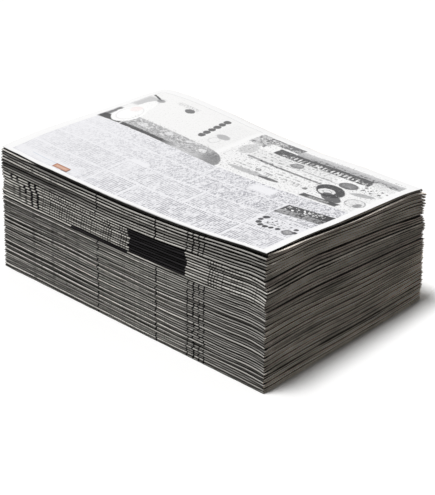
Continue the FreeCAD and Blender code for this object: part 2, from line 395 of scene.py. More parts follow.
    grid(O, 0, True)
    grid(I, 1)
    grid(end_ids, 2)
    grid(fold_ids, 3, True)
    grid(open_ids[0], 4, True)
    grid(open_ids[1], 4)
    V = np.vstack(verts)
    Q, K = np.vstack(quads), np.concatenate(kinds)

    # page coordinates for each corner of each face
    page_u = np.zeros(len(V)); page_v = np.zeros(len(V)); leaf = np.zeros(len(V))
    page_u[O] = Xn; page_u[I] = Xn
    page_v[O] = page; page_v[I] = page
    leaf[I] = 1.0
    leaf[E] = n[None, :]; leaf[F] = n[None, :]
    for e in (0, 1):
        leaf[open_ids[e][1:-1, 1:-1]] = n[:, None]
    corner_ids = Q.reshape(-1)
    kind_c = np.repeat(K, 4)
    u = np.where(kind_c <= 1, page_u[corner_ids], np.where(kind_c == 4, V[corner_ids, 0], V[corner_ids, 1]))
    v = np.where(kind_c <= 1, page_v[corner_ids], leaf[corner_ids] * LEAVES)
    return V, Q, K, u, v


def make_copy(k):
    if k == COPIES:
        V, Q, K, u, v = copy_shape(k, 220, 84, 17, 12)
    else:
        V, Q, K, u, v = copy_shape(k, 66, 17, 11, 9)
    name = "newspaper_%02d.paper" % k
    mesh = bpy.data.meshes.new(name)
    mesh.vertices.add(len(V))
    mesh.vertices.foreach_set("co", (V * MM).astype(np.float32).ravel())
    mesh.loops.add(len(Q) * 4)
    mesh.loops.foreach_set("vertex_index", Q.astype(np.int32).ravel())
    mesh.polygons.add(len(Q))
    mesh.polygons.foreach_set("loop_start", np.arange(0, len(Q) * 4, 4, dtype=np.int32))
    mesh.polygons.foreach_set("material_index", np.array([0, 1, 2, 3, 2], np.int32)[K])
    mesh.polygons.foreach_set("use_smooth", np.ones(len(Q), bool))
    mesh.update(calc_edges=True)
    mesh.validate()
    uv = mesh.uv_layers.new(name="page")
    uv.data.foreach_set("uv", np.stack([u, v], -1).astype(np.float32).ravel())
    tone = mesh.attributes.new("copy", "FLOAT", "POINT")
    tone.data.foreach_set("value", np.full(len(V), float(k), np.float32))
    mesh.set_sharp_from_angle(angle=math.radians(42))
    piece = bpy.data.objects.new(name, mesh)
    bpy.context.scene.collection.objects.link(piece)
    # outward faces: the signed volume is positive
    T = V[Q]
    vol = np.einsum("ij,ij->i", T[:, 0], np.cross(T[:, 1], T[:, 2])).sum() + np.einsum("ij,ij->i", T[:, 0], np.cross(T[:, 2], T[:, 3])).sum()
    if vol < 0:
        mesh.flip_normals()
    return piece


# ---------------------------------------------------------------- procedural print, as fields and simple shapes

class Sock:
    """A value in a node tree that arithmetic can be done on."""
    tree = None

    def __init__(self, socket):
        self.socket = socket

    @staticmethod
    def math(op, *values, clamp=False):
        node = Sock.tree.nodes.new("ShaderNodeMath")
        node.operation = op
        node.use_clamp = clamp
        for i, value in enumerate(values):
            if isinstance(value, Sock):
                Sock.tree.links.new(value.socket, node.inputs[i])
            else:
                node.inputs[i].default_value = float(value)
        return Sock(node.outputs[0])

    def __add__(self, o): return Sock.math("ADD", self, o)
    __radd__ = __add__
    def __sub__(self, o): return Sock.math("SUBTRACT", self, o)
    def __rsub__(self, o): return Sock.math("SUBTRACT", o, self)
    def __mul__(self, o): return Sock.math("MULTIPLY", self, o)
    __rmul__ = __mul__
    def __truediv__(self, o): return Sock.math("DIVIDE", self, o)


def madd(a, b, c, clamp=False): return Sock.math("MULTIPLY_ADD", a, b, c, clamp=clamp)
def absolute(a): return Sock.math("ABSOLUTE", a)
def fract(a): return Sock.math("FRACT", a)
def floor_(a): return Sock.math("FLOOR", a)
def either(a, b): return Sock.math("MAXIMUM", a, b)
def both(a, b): return Sock.math("MULTIPLY", a, b)
def invert(a): return Sock.math("SUBTRACT", 1.0, a, clamp=True)


def band(a, lo, hi, soft):
    """1 between lo and hi, with edges this soft."""
    mid, half = (lo + hi) / 2, (hi - lo) / 2
    return madd(absolute(a - mid), -1.0 / soft, half / soft + 0.5, clamp=True)


def beyond(a, edge, soft):
    return madd(a, 1.0 / soft, -edge / soft + 0.5, clamp=True)


def rect(u, v, x0, x1, y0, y1, soft=0.5):
    return both(band(u, x0, x1, soft), band(v, y0, y1, soft))


def oval(u, v, x, y, rx, ry, soft=0.08):
    """1 inside an ellipse; soft is a share of its radius."""
    a, b = madd(u, 1.0 / rx, -x / rx), madd(v, 1.0 / ry, -y / ry)
    q = madd(a, a, b * b)
    return madd(q, -1.0 / soft, 1.0 / soft + 0.5, clamp=True)


def ring(u, v, x, y, rx, ry, wide):
    a, b = madd(u, 1.0 / rx, -x / rx), madd(v, 1.0 / ry, -y / ry)
    q = Sock.math("SQRT", madd(a, a, b * b))
    return madd(absolute(q - 1.0), -2.5 / wide, 1.6, clamp=True)


def turned(u, v, x, y, degrees):
    """Coordinates about (x, y), turned."""
    c, s = math.cos(math.radians(degrees)), math.sin(math.radians(degrees))
    du, dv = u - x, v - y
    return madd(du, c, dv * s), madd(dv, c, du * -s)


def combine(u, v, w=0.0):
    node = Sock.tree.nodes.new("ShaderNodeCombineXYZ")
    for i, value in enumerate((u, v, w)):
        if isinstance(value, Sock):
            Sock.tree.links.new(value.socket, node.inputs[i])
        else:
            node.inputs[i].default_value = float(value)
    return node.outputs[0]


def noise(u, v, scale, detail=2.0, rough=0.5, w=0.0):
    node = Sock.tree.nodes.new("ShaderNodeTexNoise")
    node.noise_dimensions = "3D"
    node.inputs["Scale"].default_value = scale
    node.inputs["Detail"].default_value = detail
    node.inputs["Roughness"].default_value = rough
    Sock.tree.links.new(combine(u, v, w), node.inputs["Vector"])
    return Sock(node.outputs["Fac"] if "Fac" in node.outputs else node.outputs[0])


def chance(u, v, w=0.0):
    """One random value for each whole-numbered cell."""
    node = Sock.tree.nodes.new("ShaderNodeTexWhiteNoise")
    node.noise_dimensions = "3D"
    Sock.tree.links.new(combine(u, v, w), node.inputs["Vector"])
    return Sock(node.outputs["Value"])


def mix(a, b, share):
    """Colour a, with share of colour b over it. Colours are sockets or 3-tuples."""
    node = Sock.tree.nodes.new("ShaderNodeMix")
    node.data_type = "RGBA"
    for slot, value in ((6, a), (7, b)):
        if isinstance(value, tuple):
            node.inputs[slot].default_value = (*value, 1.0)
        else:
            Sock.tree.links.new(value, node.inputs[slot])
    if isinstance(share, Sock):
        Sock.tree.links.new(share.socket, node.inputs[0])
    else:
        node.inputs[0].default_value = share
    return node.outputs[2]


def scaled(colour, value):
    """Colour times a value."""
    node = Sock.tree.nodes.new("ShaderNodeMix")
    node.data_type = "RGBA"
    node.blend_type = "MULTIPLY"
    node.inputs[0].default_value = 1.0
    if isinstance(colour, tuple):
        node.inputs[6].default_value = (*colour, 1.0)
    else:
        Sock.tree.links.new(colour, node.inputs[6])
    grey = Sock.tree.nodes.new("ShaderNodeCombineColor")
    for i in range(3):
        Sock.tree.links.new(value.socket, grey.inputs[i])
    Sock.tree.links.new(grey.outputs[0], node.inputs[7])
    return node.outputs[2]


def start_material(name, roughness):
    mat = bpy.data.materials.new(name)
    mat.use_nodes = True
    tree = mat.node_tree
    Sock.tree = tree
    shader = next(n for n in tree.nodes if n.type == "BSDF_PRINCIPLED")
    shader.inputs["Roughness"].default_value = roughness
    shader.inputs["Specular IOR Level"].default_value = 0.18
    uv = tree.nodes.new("ShaderNodeUVMap")
    uv.uv_map = "page"
    split = tree.nodes.new("ShaderNodeSeparateXYZ")
    tree.links.new(uv.outputs[0], split.inputs[0])
    number = tree.nodes.new("ShaderNodeAttribute")
    number.attribute_name = "copy"
    return mat, shader, Sock(split.outputs[0]), Sock(split.outputs[1]), Sock(number.outputs["Fac"])


def bump(shader, value, distance, strength=1.0):
    node = Sock.tree.nodes.new("ShaderNodeBump")
    node.inputs["Strength"].default_value = strength
    node.inputs["Distance"].default_value = distance
    Sock.tree.links.new(value.socket, node.inputs["Height"])
    Sock.tree.links.new(node.outputs[0], shader.inputs["Normal"])


def text_ink(u, v, line=5.0, letter=3.0, seed=0.0, density=0.5):
    """Lines of unreadable marks that run across the fold, as upright columns of small type do."""
    lu, lv = u / line, v / letter
    fu, fv = fract(lu), fract(lv)
    cell_u, cell_v = floor_(lu), floor_(lv)
    in_line = band(fu, 0.16, 0.82, 0.14)
    in_letter = band(fv, 0.08, 0.90, 0.16)
    strokes = noise(u, v, 1.15, 3.0, 0.6, seed)
    dark = madd(strokes, 9.0, -9.0 * (0.60 - 0.16 * density), clamp=True)
    weight = madd(chance(cell_u, cell_v, seed), 0.55, 0.55)
    # a line ends early here and there
    stop = chance(cell_u, floor_(v / 11.0), seed + 3.0)
    kept = madd(stop, 14.0, -14.0 * 0.10, clamp=True)
    return both(both(both(in_line, in_letter), both(dark, weight)), kept)


def ticks(u, v, period, letter, seed):
    """Upright type seen across a fold: strokes at a steady period, broken into letters."""
    cell = floor_(u / period)
    across = band(fract(u / period), 0.20, 0.74, 0.18)
    lv = madd(chance(cell, seed, 1.0), 5.0, v) / letter
    along = band(fract(lv), 0.05, 0.92, 0.2)
    dark = madd(chance(cell, floor_(lv), seed), 1.1, 0.22, clamp=True)
    return both(both(across, along), dark)


PAPER = (0.83, 0.805, 0.755)
PAPER_INSIDE = (0.70, 0.69, 0.67)
INK = (0.018, 0.017, 0.018)


def fibres(u, v):
    return madd(noise(u, v, 0.9, 4.0, 0.65, 5.0), 0.10, 0.95)


def newsprint(name, edition):
    """The outside of a folded copy: page print that runs round the half fold, with painted shade on the crests and
    under the fold noses.
    """
    mat, shader, u, v, number = start_material(name, 0.92)
    odd = chance(number, 0.0, 2.0)               # one value for each copy
    odd2 = chance(number, 4.0, 1.0)
    odd3 = chance(number, 9.0, 6.0)
    s = v + W2                                    # distance from the fold line
    # the fold doesn't fall at quite the same line of print in each copy
    sv = madd(odd, 5.0, s - 2.5)
    su = u
    away = beyond(absolute(sv), 7.0, 2.0)
    # painted shade: a dark band just past the fold, sooner on the under side, stands for the shade under each fold nose
    # and in the gap to the next copy
    painted_fold_shade = either(beyond(s, 1.95, 1.0), beyond(madd(chance(number, 6.0, 4.0), 0.70, s * -1.0), 0.52, 0.5))
    under = both(invert(beyond(s, -12.0, 4.0)), invert(beyond(number, 1.5, 0.1)))
    painted_fold_shade = both(painted_fold_shade, invert(under))          # the lowest page of all is plain type, with no painted shade
    text = both(text_ink(su, madd(number, 7.3, sv), seed=1.0), away)
    tone = madd(odd3, 0.10, 0.90)
    base = scaled(PAPER, both(fibres(u, s), tone))
    ink = text * 0.85
    wobble = madd(odd2, 0.7, su - 0.35)
    if edition == "a":
        # column rules that cross the fold, each a little out of line from copy to copy
        near = band(sv, -16, 16, 3.0)
        for x, wide, dark in ((-47.0, 2.0, 1.0), (44.0, 2.3, 1.0), (91.5, 2.2, 0.95), (100.3, 2.6, 1.0),
                              (108.5, 2.0, 1.0), (115.5, 2.3, 1.0)):
            shift = madd(chance(number, x, 3.0), 2.2, su - (x + 1.1))
            line = band(shift, -wide / 2, wide / 2, 0.5)
            kept = madd(chance(number, x + 7.0, 5.0), 6.0, -0.4, clamp=True)
            ink = either(ink, both(both(line, kept), near) * dark)
        # type that crosses the fold: the same columns in every copy
        type_all = ticks(wobble, sv, 3.1, 1.9, 12.0)
        strong = rect(su, sv, 88, 119, -12, 12, 1.0)
        left = rect(su, sv, -198, -104, -12, 12, 6.0)
        mid = rect(su, sv, -12, 66, -12, 12, 6.0)
        ink = either(ink, both(type_all, madd(strong, 0.30, madd(left, 0.06, madd(mid, 0.24, 0.30)))))
        field_ = madd(noise(u, number * 0.9, 0.030, 2.0, 0.5, 4.0), 2.0, -0.85, clamp=True)
        smudge = madd(noise(u, number * 0.16, 0.095, 2.0, 0.55, 8.0), 4.6, -2.35, clamp=True)
        ink = either(ink, either(field_ * 0.20, smudge * 0.46))
        # painted shade: every other crest is darkened as if shaded by the copy above, most of all at the left, and all
        # are greyer at the right
        other = fract(madd(floor_(number / 7.0), 0.5, number * 0.5)) * 2.0
        painted_crest_shade = both(other, madd(beyond(u, -30, 110.0), -0.30, 0.66))
        painted_crest_shade = both(painted_crest_shade, madd(noise(u, number * 3.0, 0.02, 2.0, 0.5, 15.0), 0.9, 0.60, clamp=True))
        ink = either(ink, either(painted_crest_shade, madd(beyond(u, 90, 80.0), 0.32, 0.10)))
        # darker columns at the left that line up through the copies
        for x, wide, dark in ((-151.5, 5.0, 0.60), (-140.0, 3.0, 0.50), (-120.0, 4.5, 0.62), (-112.5, 3.0, 0.55),
                              (-99.0, 3.0, 0.45), (8.0, 3.0, 0.35), (22.0, 2.5, 0.32), (58.0, 2.5, 0.35)):
            line = band(madd(chance(number, x, 2.0), 1.6, su - (x + 0.8)), -wide / 2, wide / 2, 1.2)
            ink = either(ink, both(line, madd(chance(number, x + 3.0, 1.0), 0.7, 0.4, clamp=True)) * dark)
        # painted shade: two copies near the top are darkened at the left, and the copy under the top one from near the
        # left end on, where the copies above shade their crests
        painted_shade_pair = either(band(number, 49.5, 50.5, 0.1), band(number, 45.5, 46.5, 0.1))
        ink = either(ink, both(painted_shade_pair, invert(beyond(u, -70, 90.0))) * 0.72)
        ink = either(ink, both(band(number, 50.5, 51.5, 0.1), beyond(u, -152, 12.0)) * 0.80)
    elif edition == "b":
        lowest = band(number, 33.5, 34.5, 0.1)
        jag = madd(odd, 3.4, -1.7)
        jag2 = madd(odd2, 4.2, -2.1)
        left = beyond(su + jag2, 2.0, 0.5)
        right = invert(beyond(su + jag, 89.0, 0.5))
        block = both(both(left, right), band(sv, -30, 30, 2.0))
        bar = both(rect(su, sv, -88.0, 1.0, -30, 30, 0.5), lowest)
        block = either(both(block, invert(lowest)), bar)
        fine = ticks(madd(odd2, 0.4, su - 0.2), sv, 3.9, 2.6, 31.0)
        columns = either(rect(su, sv, -138, 2, -14, 14, 2.0) * 0.80, rect(su, sv, -36, -8, -14, 14, 2.0) * 0.9)
        columns = either(columns, rect(su, sv, 121, 147, -14, 14, 2.0) * 0.9)
        columns = either(columns, rect(su, sv, 150, 196, -14, 14, 2.0) * 0.45)
        columns = either(columns, rect(su, sv, 91, 119, -14, 14, 2.0) * 0.16)
        slant = madd(number, 0.55, su - 21.0) + jag2 * 0.25
        pitch = madd(slant, 1 / 9.95, 0.0)
        bold = both(band(fract(pitch), 0.36, 0.74, 0.14), rect(su, sv, -190, -140, -14, 14, 1.0))
        kept = madd(chance(floor_(pitch), number, 1.0), 3.0, -0.5, clamp=True) * 0.9
        kept = both(kept, madd(number, 0.10, madd(su, 0.020, 0.1), clamp=True) + 0.45)
        bold = both(bold, either(beyond(su, -160, 2.0), kept))
        ink = either(ink, both(both(columns, fine), invert(lowest)))
        ink = either(ink, both(bold, invert(lowest)) * 0.96)
        ink = either(both(ink, invert(block)), block * 0.99)
    # the painted shade under the fold noses goes over all the print
    ink = either(ink, painted_fold_shade * 0.97)
    colour = mix(base, INK, ink)
    if edition == "b":
        # a solid black field prints slightly blue, and rubs off grey on the crest
        rub = both(block, noise(u, number * 2.0, 0.16, 3.0, 0.6, 7.0))
        colour = mix(colour, (0.030, 0.027, 0.034), rub * 0.4)
    Sock.tree.links.new(colour, shader.inputs["Base Color"])
    bump(shader, noise(u, s, 1.6, 4.0, 0.6, 3.0) + noise(u, s, 0.16, 2.0, 0.5, 1.0) * 2.0, 0.00012, 0.5)
    return mat


def inside_page():
    mat, shader, u, v, number = start_material("newsprint_inside", 0.93)
    ink = text_ink(u, madd(number, 11.0, v), seed=6.0) * 0.8
    colour = mix(scaled(PAPER_INSIDE, fibres(u, v)), INK, ink)
    Sock.tree.links.new(colour, shader.inputs["Base Color"])
    bump(shader, noise(u, v, 1.6, 4.0, 0.6, 3.0), 0.0001, 0.4)
    return mat


def leaf_edges():
    """The cut edges of the leaves: fine parallel lines, with painted shade between the leaves, greyed by ink."""
    mat, shader, u, v, number = start_material("leaf_edges", 0.95)
    wander = noise(u, number * 9.0, 0.035, 3.0, 0.6, 2.0)
    lines = fract(madd(wander, 1.2, v))
    leaf_gap_shade = madd(absolute(lines - 0.5), -3.2, 1.25, clamp=True)          # 1 on a leaf, 0 between: the dip is painted shade in the gaps between the leaves
    leaf_tone = chance(floor_(madd(wander, 1.2, v)), number, 4.0)
    along = noise(u, madd(number, 5.0, v * 0.35), 0.09, 4.0, 0.6, 1.0)
    specks = noise(u, madd(number, 30.0, v * 2.0), 0.8, 3.0, 0.7, 3.0)
    value = both(madd(leaf_gap_shade, 0.34, 0.74), madd(leaf_tone, 0.40, 0.86))
    value = both(value, madd(along, 1.15, 0.68))
    # broad darker stretches, and here and there a few leaves that stand out paler
    broad = noise(u, number * 17.0, 0.016, 2.0, 0.5, 12.0)
    value = both(value, madd(broad, 1.5, 0.25))
    pale_leaves = madd(chance(floor_(v / 5.0), number, 11.0), 8.0, -6.6, clamp=True)
    value = both(value, madd(pale_leaves, 0.42, 0.95))
    # painted light: the lower copies' cut ends are painted paler towards the open corner, for bounce light wrapping
    # round there
    painted_bounce_light = both(beyond(u, 118, 50.0), both(band(number, 4.5, 37.0, 5.0), noise(u, number * 3.0, 0.05, 2.0, 0.5, 21.0)))
    value = both(value, madd(painted_bounce_light, 0.50, 1.0))
    # the outer leaves of each copy are inked and sit back; their darkening is partly that ink and partly painted shade
    # in the crevice between copies
    value = both(value, madd(v, 0.12, 0.36, clamp=True))
    value = both(value, madd(specks, 0.5, 0.80))
    value = both(value, madd(chance(number, 3.0, 3.0), 0.52, 0.84))
    warm = mix((0.80, 0.745, 0.675), (0.76, 0.66, 0.61), madd(chance(number, 1.0, 8.0), 3.0, -2.1, clamp=True))
    Sock.tree.links.new(scaled(warm, value), shader.inputs["Base Color"])
    bump(shader, both(leaf_gap_shade, madd(leaf_tone, 0.6, 0.4)), 0.00010, 0.9)
    return mat


def centre_fold():
    """The folded end, where the sheets turn over: plain margin paper, rubbed darker on the crest."""
    mat, shader, u, v, number = start_material("centre_fold", 0.93)
    crest = madd(absolute(v - LEAVES / 2), -0.10, 1.0, clamp=True)
    rub = noise(u, number * 7.0, 0.10, 4.0, 0.65, 2.0)
    value = both(madd(chance(number, 2.0, 7.0), 0.12, 0.86), madd(both(crest, rub), -0.30, 1.02))
    Sock.tree.links.new(scaled((0.70, 0.69, 0.67), value), shader.inputs["Base Color"])
    bump(shader, noise(u, v, 0.9, 4.0, 0.6, 3.0), 0.0001, 0.5)
    return mat


def front_page():
    """The page that shows on top: five tiers of upright type over most of it, and two picture panels along the open side."""
    mat, shader, u, v, number = start_material("front_page", 0.90)
    t = text_ink(u, v, line=4.3, letter=3.1, seed=11.0, density=0.75)
    hair_u = madd(noise(u, v, 0.03, 1.0, 0.5, 2.0), 0.5, u / 3.35)
    hair_on = madd(noise(floor_(hair_u) * 3.7, v, 0.13, 2.0, 0.6, 6.0), 9.0, -3.7, clamp=True)
    hair = both(both(band(fract(hair_u), 0.28, 0.66, 0.2), hair_on), invert(beyond(v, -57, 1.0)))
    margin = rect(u, v, -192, 194, -130.5, 8.0, 0.8)
    streaky_ = invert(beyond(v, -57, 1.0)) * 0.75
    # tiers and the white gutters between them
    gut = both(invert(band(v, -22.0, -19.2, 0.7)), invert(band(v, -57.2, -54.2, 0.7)))
    gut = both(gut, invert(band(v, -95.2, -92.2, 0.7)))
    for x, lo, hi in ((-123, -19, 8), (-56, -20, 8), (4, -20, 8), (10, -55, -20), (91, -55, -20), (131, -130, -20),
                      (-75, -94, -56), (-75, -130, -94), (44, -94, -56), (-23, -130, -94), (-130, -56, -20)):
        gut = both(gut, invert(rect(u, v, x - 1.5, x + 1.5, lo, hi, 0.6)))
    # columns of type are darker or lighter from block to block
    block = chance(floor_(madd(u, 1 / 45.0, 0.37)), floor_(madd(v, 1 / 36.5, 0.45)), 2.0)
    density = madd(block, 0.34, 0.70)
    blank = either(rect(u, v, 66, 100, -14, 4, 5.0), rect(u, v, -74, -47, -58, -48, 4.0))
    blank = either(blank, rect(u, v, -190, -88, -129, -114, 6.0) * 0.75)
    t = either(both(t, invert(both(streaky_, beyond(u, -60, 50.0)))) * 0.9, hair * 0.95)
    text = both(both(both(t, margin), both(gut, density)), invert(blank))
    headline = text_ink(u, v, line=10.0, letter=7.5, seed=21.0, density=0.8)
    heads = either(rect(u, v, -72, -52, -92, -60, 1.0), rect(u, v, 96, 106, -54, -22, 1.0))
    heads = either(heads, rect(u, v, -48, -36, -52, -24, 1.0))
    text = either(both(text, invert(heads)), both(headline, heads) * 0.35)

    pale = (0.79, 0.79, 0.82)
    white = (0.855, 0.855, 0.86)
    tint = mix(white, pale, margin * 0.9)
    colour = scaled(tint, fibres(u, v))

    def over(mask, tone, share=1.0):
        nonlocal colour
        colour = mix(colour, tone, mask * share if share != 1.0 else mask)

    grain = madd(noise(u, v, 0.55, 4.0, 0.7, 9.0), 5.0, -2.2, clamp=True)
    fine = madd(noise(u, v, 1.1, 3.0, 0.7, 4.0), 5.0, -2.0, clamp=True)
    coarse = madd(noise(u, v, 0.27, 2.0, 0.6, 23.0), 16.0, -8.6, clamp=True)
    coarse2 = madd(noise(u, v, 0.24, 2.0, 0.6, 53.0), 16.0, -8.4, clamp=True)

    # coarse halftone: the edges of the pictures are uneven
    flat_u, flat_v = u, v
    u = madd(noise(flat_u, flat_v, 0.17, 3.0, 0.7, 31.0), 4.4, flat_u - 2.2)
    v = madd(noise(flat_u, flat_v, 0.17, 3.0, 0.7, 47.0), 3.4, flat_v - 1.7)

    # ---- left panel
    over(either(rect(u, v, -190, -28, 120.6, 121.4, 0.4), rect(u, v, -192.5, -191.7, 40, 121, 0.4)), (0.45, 0.45, 0.46), 0.55)
    over(rect(u, v, -191, -30, 9, 120, 1.0), (0.80, 0.795, 0.79), 0.35)
    over(rect(u, v, -192, -166, 66, 99, 6.0), (0.47, 0.47, 0.48), 0.75)
    # long speckled band with a rounded end
    low_edge = madd(Sock.math("MULTIPLY", u + 100, u + 100), -0.00016, 8.6)
    up_edge = madd(Sock.math("MULTIPLY", u + 90, u + 90), -0.00022, 41.0)
    over_low = madd(v - low_edge, 1.6, 0.5, clamp=True)
    under_top = madd(up_edge - v, 0.9, 0.5, clamp=True)
    du = madd(u, 1 / 42.0, 44.0 / 42.0)
    dv = madd(v, 1 / 30.0, -9.0 / 30.0)
    round_end = madd(madd(Sock.math("MAXIMUM", du, 0.0), Sock.math("MAXIMUM", du, 0.0), Sock.math("MAXIMUM", dv, 0.0) * Sock.math("MAXIMUM", dv, 0.0)), -12.0, 12.5, clamp=True)
    strip = both(both(over_low, under_top), both(round_end, beyond(u, -156, 3.0)))
    over(strip, (0.40, 0.40, 0.41), 0.92)
    over(both(strip, fine), (0.70, 0.70, 0.71), 0.75)
    over(both(strip, both(grain, band(v, 18, 40, 4.0))), (0.12, 0.12, 0.125), 0.55)
    over(both(strip, both(coarse2, band(v, 20, 42, 4.0))), (0.84, 0.84, 0.845), 0.60)
    over(both(strip, both(coarse, band(v, 12, 34, 4.0))), (0.16, 0.16, 0.165), 0.55)
    low_dark = both(strip, invert(beyond(v - low_edge, 6.5, 2.5)))
    over(both(low_dark, invert(beyond(u, -78, 25.0))), (0.06, 0.06, 0.062), 0.9)
    over(both(strip, beyond(u, -30, 22.0)), (0.14, 0.14, 0.145), 0.65)
    for x, y, r in ((-134, 27, 7.0), (-96, 31, 6.0), (-39, 27, 5.5), (-66, 33, 4.0)):
        over(oval(u, v, x, y, r, r * 0.75, 0.5), (0.82, 0.82, 0.83), 0.7)
    # dark corner, with a pale bottle shape standing over it
    over(rect(u, v, -193, -158, 9.0, 22, 1.5), (0.05, 0.05, 0.052), 0.92)
    over(rect(u, v, -193, -186, 9, 48, 4.0), (0.10, 0.10, 0.105), 0.85)
    bu, bv = turned(u, v, -170, 46, 6)
    over(oval(bu, bv, 0, -8, 17.5, 27, 0.10), (0.90, 0.90, 0.90), 0.97)
    over(oval(bu, bv, 2, 10, 11, 34, 0.30), (0.89, 0.89, 0.89), 0.95)
    over(ring(bu, bv, 0, -6, 13, 21, 0.10), (0.62, 0.61, 0.62), 0.45)
    over(oval(u, v, -173, 55, 6.5, 9.0, 0.6), (0.86, 0.76, 0.75), 0.6)
    su, sv = turned(u, v, -178, 99, -26)
    over(rect(su, sv, -14, 10, -1.3, 1.3, 0.8), (0.05, 0.05, 0.052), 0.9)
    over(oval(u, v, -169, 93.5, 6.5, 4.5, 0.5), (0.30, 0.30, 0.31), 0.8)
    over(oval(u, v, -123, 95.5, 6.6, 5.8, 0.3), (0.10, 0.10, 0.105), 0.85)
    over(both(rect(u, v, -150, -116, 100, 108, 2.0), grain), (0.25, 0.25, 0.26), 0.6)
    for i in range(6):
        over(oval(u, v, -72.5 + 0.7 * i, 107.5 - 9.8 * i, 4.3, 4.9, 0.35), (0.06, 0.06, 0.062), 0.86)
    over(oval(u, v, -48, 73, 9, 6, 0.5), (0.30, 0.30, 0.31), 0.7)
    over(ring(u, v, -50, 59, 6, 8, 0.25), (0.55, 0.55, 0.56), 0.5)
    over(both(rect(u, v, -62, -30, 12, 112, 6.0), grain), (0.50, 0.50, 0.52), 0.25)

    # ---- right panel
    speck = both(rect(u, v, -22, 193, 10, 70, 2.0), both(grain, fine))
    over(speck, (0.35, 0.35, 0.36), 0.45)
    over(rect(u, v, -23, 2, 90, 119, 1.5), (0.36, 0.36, 0.37), 0.75)
    over(both(rect(u, v, -23, 2, 90, 119, 1.5), fine), (0.85, 0.85, 0.85), 0.5)
    over(rect(u, v, -8, 43, 104, 118.5, 1.2), (0.09, 0.09, 0.095), 0.86)
    over(both(rect(u, v, -6, 12, 104, 116, 1.0), fine), (0.75, 0.75, 0.76), 0.6)
    # long graded strip under the open edge, then the dark strip
    lean = madd(u, -0.018, 0.0)
    vs = v - lean
    top_strip = rect(u, vs, 43, 194, 99.5, 114.5, 1.2)
    over(top_strip, (0.36, 0.36, 0.37), 0.85)
    over(both(top_strip, beyond(vs, 108, 8.0)), (0.66, 0.66, 0.67), 0.55)
    dark_strip = rect(u, vs, 20, 162, 84.5, 100.5, 1.2)
    over(dark_strip, (0.055, 0.055, 0.058), 0.92)
    dashes = both(band(fract(madd(u, 1 / 6.1, 0.2)), 0.20, 0.70, 0.15), rect(u, vs, 40, 146, 86.6, 95.0, 0.8))
    over(both(dashes, madd(chance(floor_(madd(u, 1 / 6.1, 0.2)), 2.0, 1.0), 2.2, 0.1, clamp=True)), (0.86, 0.86, 0.87), 0.92)
    over(both(rect(u, vs, 40, 146, 84, 96, 1.0), grain), (0.03, 0.03, 0.032), 0.75)
    over(both(rect(u, vs, 30, 158, 84.6, 92.5, 0.8), coarse), (0.88, 0.88, 0.885), 0.90)
    over(both(rect(u, vs, 60, 190, 99, 106.5, 2.5), coarse2), (0.07, 0.07, 0.073), 0.75)
    over(both(rect(u, vs, -20, 42, 100, 118, 1.5), coarse), (0.80, 0.80, 0.81), 0.75)
    over(both(rect(u, v, -23, 4, 88, 119, 2.0), coarse2), (0.12, 0.12, 0.125), 0.75)
    over(both(rect(u, v, 26, 110, 66, 84, 3.0), coarse2), (0.40, 0.40, 0.41), 0.45)
    over(oval(u, v, 168, 95, 9, 5.5, 0.4), (0.78, 0.78, 0.79), 0.75)
    over(both(rect(u, v, 160, 193, 84, 108, 2.0), grain), (0.20, 0.20, 0.21), 0.5)
    over(oval(u, v, -7, 73, 10, 15, 0.6), (0.42, 0.42, 0.43), 0.75)
    over(both(oval(u, v, -7, 73, 10, 15, 0.6), fine), (0.82, 0.82, 0.82), 0.55)
    over(rect(u, v, 4, 120, 63, 84, 3.0), (0.72, 0.72, 0.725), 0.55)
    slope = madd(u, 0.066, v)                    # a rule that leans down to the right
    over(rect(u, slope, 4, 120, 57.5, 61.0, 1.0), (0.12, 0.12, 0.125), 0.82)
    over(both(rect(u, slope, 18, 60, 56.5, 62.0, 1.0), coarse), (0.05, 0.05, 0.052), 0.85)
    over(rect(u, slope, 6, 24, 57.0, 61.6, 1.5), (0.42, 0.42, 0.43), 0.5)
    over(oval(u, v, 65.5, 74.5, 9.0, 6.6, 0.25), (0.17, 0.17, 0.175), 0.88)
    over(both(oval(u, v, 65.5, 75.5, 6.6, 4.2, 0.3), fine), (0.66, 0.66, 0.67), 0.6)
    over(rect(u, slope, 78, 134, 72.5, 73.9, 0.6), (0.25, 0.25, 0.26), 0.6)
    over(oval(u, v, 145.5, 68.0, 12.4, 8.6, 0.2), (0.12, 0.12, 0.125), 0.92)
    over(both(oval(u, v, 145.5, 69.0, 9, 5.6, 0.3), fine), (0.45, 0.45, 0.46), 0.5)
    au, av = turned(u, v, 140, 43, -22)
    over(oval(au, av, 0, 0, 21, 14.5, 0.14), (0.045, 0.045, 0.048), 0.95)
    over(oval(u, v, 137.5, 39.5, 10.8, 7.6, 0.25), (0.84, 0.84, 0.845), 0.93)
    over(ring(u, v, 138.5, 39.5, 5.6, 3.6, 0.35), (0.30, 0.30, 0.31), 0.8)
    over(oval(au, av, 17, -9, 17, 8.5, 0.25), (0.07, 0.07, 0.073), 0.9)
    over(rect(u, v, 121, 172, 11.2, 19.5, 1.2), (0.05, 0.05, 0.052), 0.93)
    over(both(rect(u, v, 131, 160, 12.5, 17.5, 1.0), fine), (0.8, 0.8, 0.8), 0.6)
    wu, wv = turned(u, v, 174, 57, 14)
    over(oval(wu, wv, 0, 0, 15, 4.6, 0.5), (0.28, 0.28, 0.29), 0.7)
    over(both(rect(u, v, 158, 193, 66, 82, 2.0), coarse2), (0.08, 0.08, 0.083), 0.80)
    over(both(oval(u, v, 182, 34, 12.5, 11, 0.15), coarse), (0.22, 0.22, 0.225), 0.65)
    over(oval(u, v, 182, 34, 12.5, 11, 0.15), (0.74, 0.74, 0.745), 0.7)
    over(ring(u, v, 182, 34, 12.0, 10.4, 0.14), (0.20, 0.20, 0.21), 0.6)
